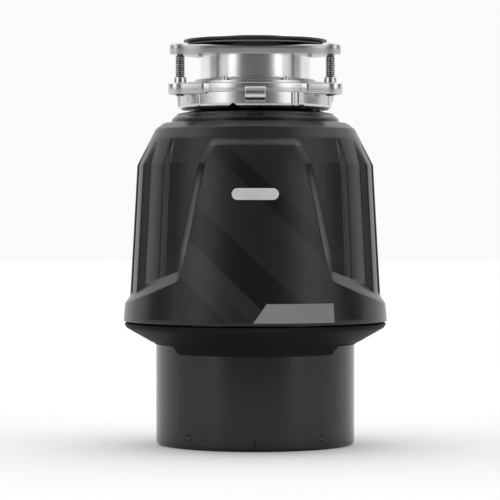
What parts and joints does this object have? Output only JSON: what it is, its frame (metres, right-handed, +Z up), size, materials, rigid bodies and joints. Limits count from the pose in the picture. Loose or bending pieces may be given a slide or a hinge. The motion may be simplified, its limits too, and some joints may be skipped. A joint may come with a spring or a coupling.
{
  "type": "kitchen garbage disposal",
  "caption": "Under-sink food waste disposer with a faceted black casing, motor can, grinding chamber, lock ring and sink flange mount.",
  "frame": {"origin": "centre of the flat ring that the motor can stands on", "axes": "+Z up along the shaft, -Y out of the front panel, +Y out of the drain outlet"},
  "size_m": [0.2104, 0.2104, 0.3234],
  "materials": {
    "black_plastic": "moulded satin black plastic",
    "black_paint": "satin black paint on sheet steel",
    "rubber": "matt black rubber",
    "stainless": "polished stainless steel",
    "cast_aluminium": "bare die casting",
    "zinc_steel": "bright zinc-plated steel",
    "steel": "plain steel",
    "copper": "varnished copper wire and bronze",
    "fibre": "pressed brown-grey fibre",
    "foam": "grey sound-absorbing foam",
    "grey_plastic": "glass-filled grey plastic",
    "dark_plastic": "dark moulded plastic",
    "red_plastic": "red moulded plastic"
  },
  "bodies": {
    "disposer": {"casing": "black_plastic", "casing_collar": "black_plastic", "lower_cover": "black_plastic", "container": "grey_plastic", "acoustic_foam": "foam", "grind_ring": "steel", "upper_end_bell": "cast_aluminium", "outlet_gasket": "rubber", "outlet_flange": "zinc_steel", "outlet_screw_left": "zinc_steel", "outlet_screw_right": "zinc_steel", "motor_can": "black_paint", "base_cover": "black_paint", "terminal_cover": "zinc_steel", "terminal_screw": "zinc_steel", "cable_grommet": "rubber", "lower_end_bell": "cast_aluminium", "lower_bearing": "copper", "thrust_washer": "steel", "overload_protector": "dark_plastic", "stator_core": "steel", "winding_lower": "copper", "winding_upper": "copper", "start_switch": "dark_plastic", "upper_bearing": "copper", "shaft_seal": "rubber", "through_bolt_front_right": "steel", "through_bolt_front_left": "steel", "through_bolt_back_left": "steel", "through_bolt_back_right": "steel", "sink_flange": "stainless", "sink_gasket": "rubber", "snap_ring": "steel", "mounting_ring": "zinc_steel", "mounting_gasket": "rubber", "splash_baffle": "rubber"},
    "rotor": {"motor_shaft": "steel", "rotor_core": "steel", "rotor_ring_lower": "cast_aluminium", "rotor_ring_upper": "cast_aluminium", "slinger": "rubber", "grind_plate": "stainless", "plate_nut": "steel", "lug_pin_a": "steel", "lug_pin_b": "steel"},
    "governor": {"governor_collar": "grey_plastic"},
    "lug_a": {"swivel_lug_a": "stainless"},
    "lug_b": {"swivel_lug_b": "stainless"},
    "lock_ring": {"lock_ring": "zinc_steel"},
    "clamp_flange": {"backup_flange": "zinc_steel", "fibre_gasket": "fibre"},
    "screw_left": {"mounting_screw_left": "zinc_steel"},
    "screw_right": {"mounting_screw_right": "zinc_steel"},
    "screw_back": {"mounting_screw_back": "zinc_steel"},
    "reset_button": {"reset_button": "red_plastic"}
  },
  "joints": [
    {"name": "shaft_spin", "type": "hinge", "parent": "disposer", "child": "rotor", "pos_m": [0, 0, 0.05], "axis": [0, 0, 1], "continuous": true},
    {"name": "governor_slide", "type": "slide", "parent": "rotor", "child": "governor", "axis": [0, 0, -1], "range_m": [0, 0.006], "stiffness_N_per_m": 200, "springref_m": -0.003},
    {"name": "lug_a_swivel", "type": "hinge", "parent": "rotor", "child": "lug_a", "pos_m": [0.038, 0, 0.158], "axis": [0, 0, 1], "continuous": true},
    {"name": "lug_b_swivel", "type": "hinge", "parent": "rotor", "child": "lug_b", "pos_m": [-0.038, 0, 0.158], "axis": [0, 0, 1], "continuous": true},
    {"name": "lock_ring_turn", "type": "hinge", "parent": "disposer", "child": "lock_ring", "pos_m": [0, 0, 0.273], "axis": [0, 0, 1], "range_deg": [-30, 0]},
    {"name": "clamp_travel", "type": "slide", "parent": "disposer", "child": "clamp_flange", "axis": [0, 0, 1], "range_m": [-0.012, 0]},
    {"name": "screw_left_turn", "type": "hinge", "parent": "clamp_flange", "child": "screw_left", "pos_m": [-0.05906, -0.0341, 0.283], "axis": [0, 0, 1], "range_deg": [-3064, 0]},
    {"name": "screw_right_turn", "type": "hinge", "parent": "clamp_flange", "child": "screw_right", "pos_m": [0.05906, -0.0341, 0.283], "axis": [0, 0, 1], "range_deg": [-3064, 0]},
    {"name": "screw_back_turn", "type": "hinge", "parent": "clamp_flange", "child": "screw_back", "pos_m": [0, 0.0682, 0.283], "axis": [0, 0, 1], "range_deg": [-3064, 0]},
    {"name": "reset_press", "type": "slide", "parent": "disposer", "child": "reset_button", "axis": [0, 0, 1], "range_m": [0, 0.003], "stiffness_N_per_m": 300, "springref_m": -0.003}
  ],
  "couplings": [
    {"joint": "screw_left_turn", "follows": "clamp_travel", "rad_per_m": 4452.6},
    {"joint": "screw_right_turn", "follows": "clamp_travel", "rad_per_m": 4452.6},
    {"joint": "screw_back_turn", "follows": "clamp_travel", "rad_per_m": 4452.6}
  ]
}
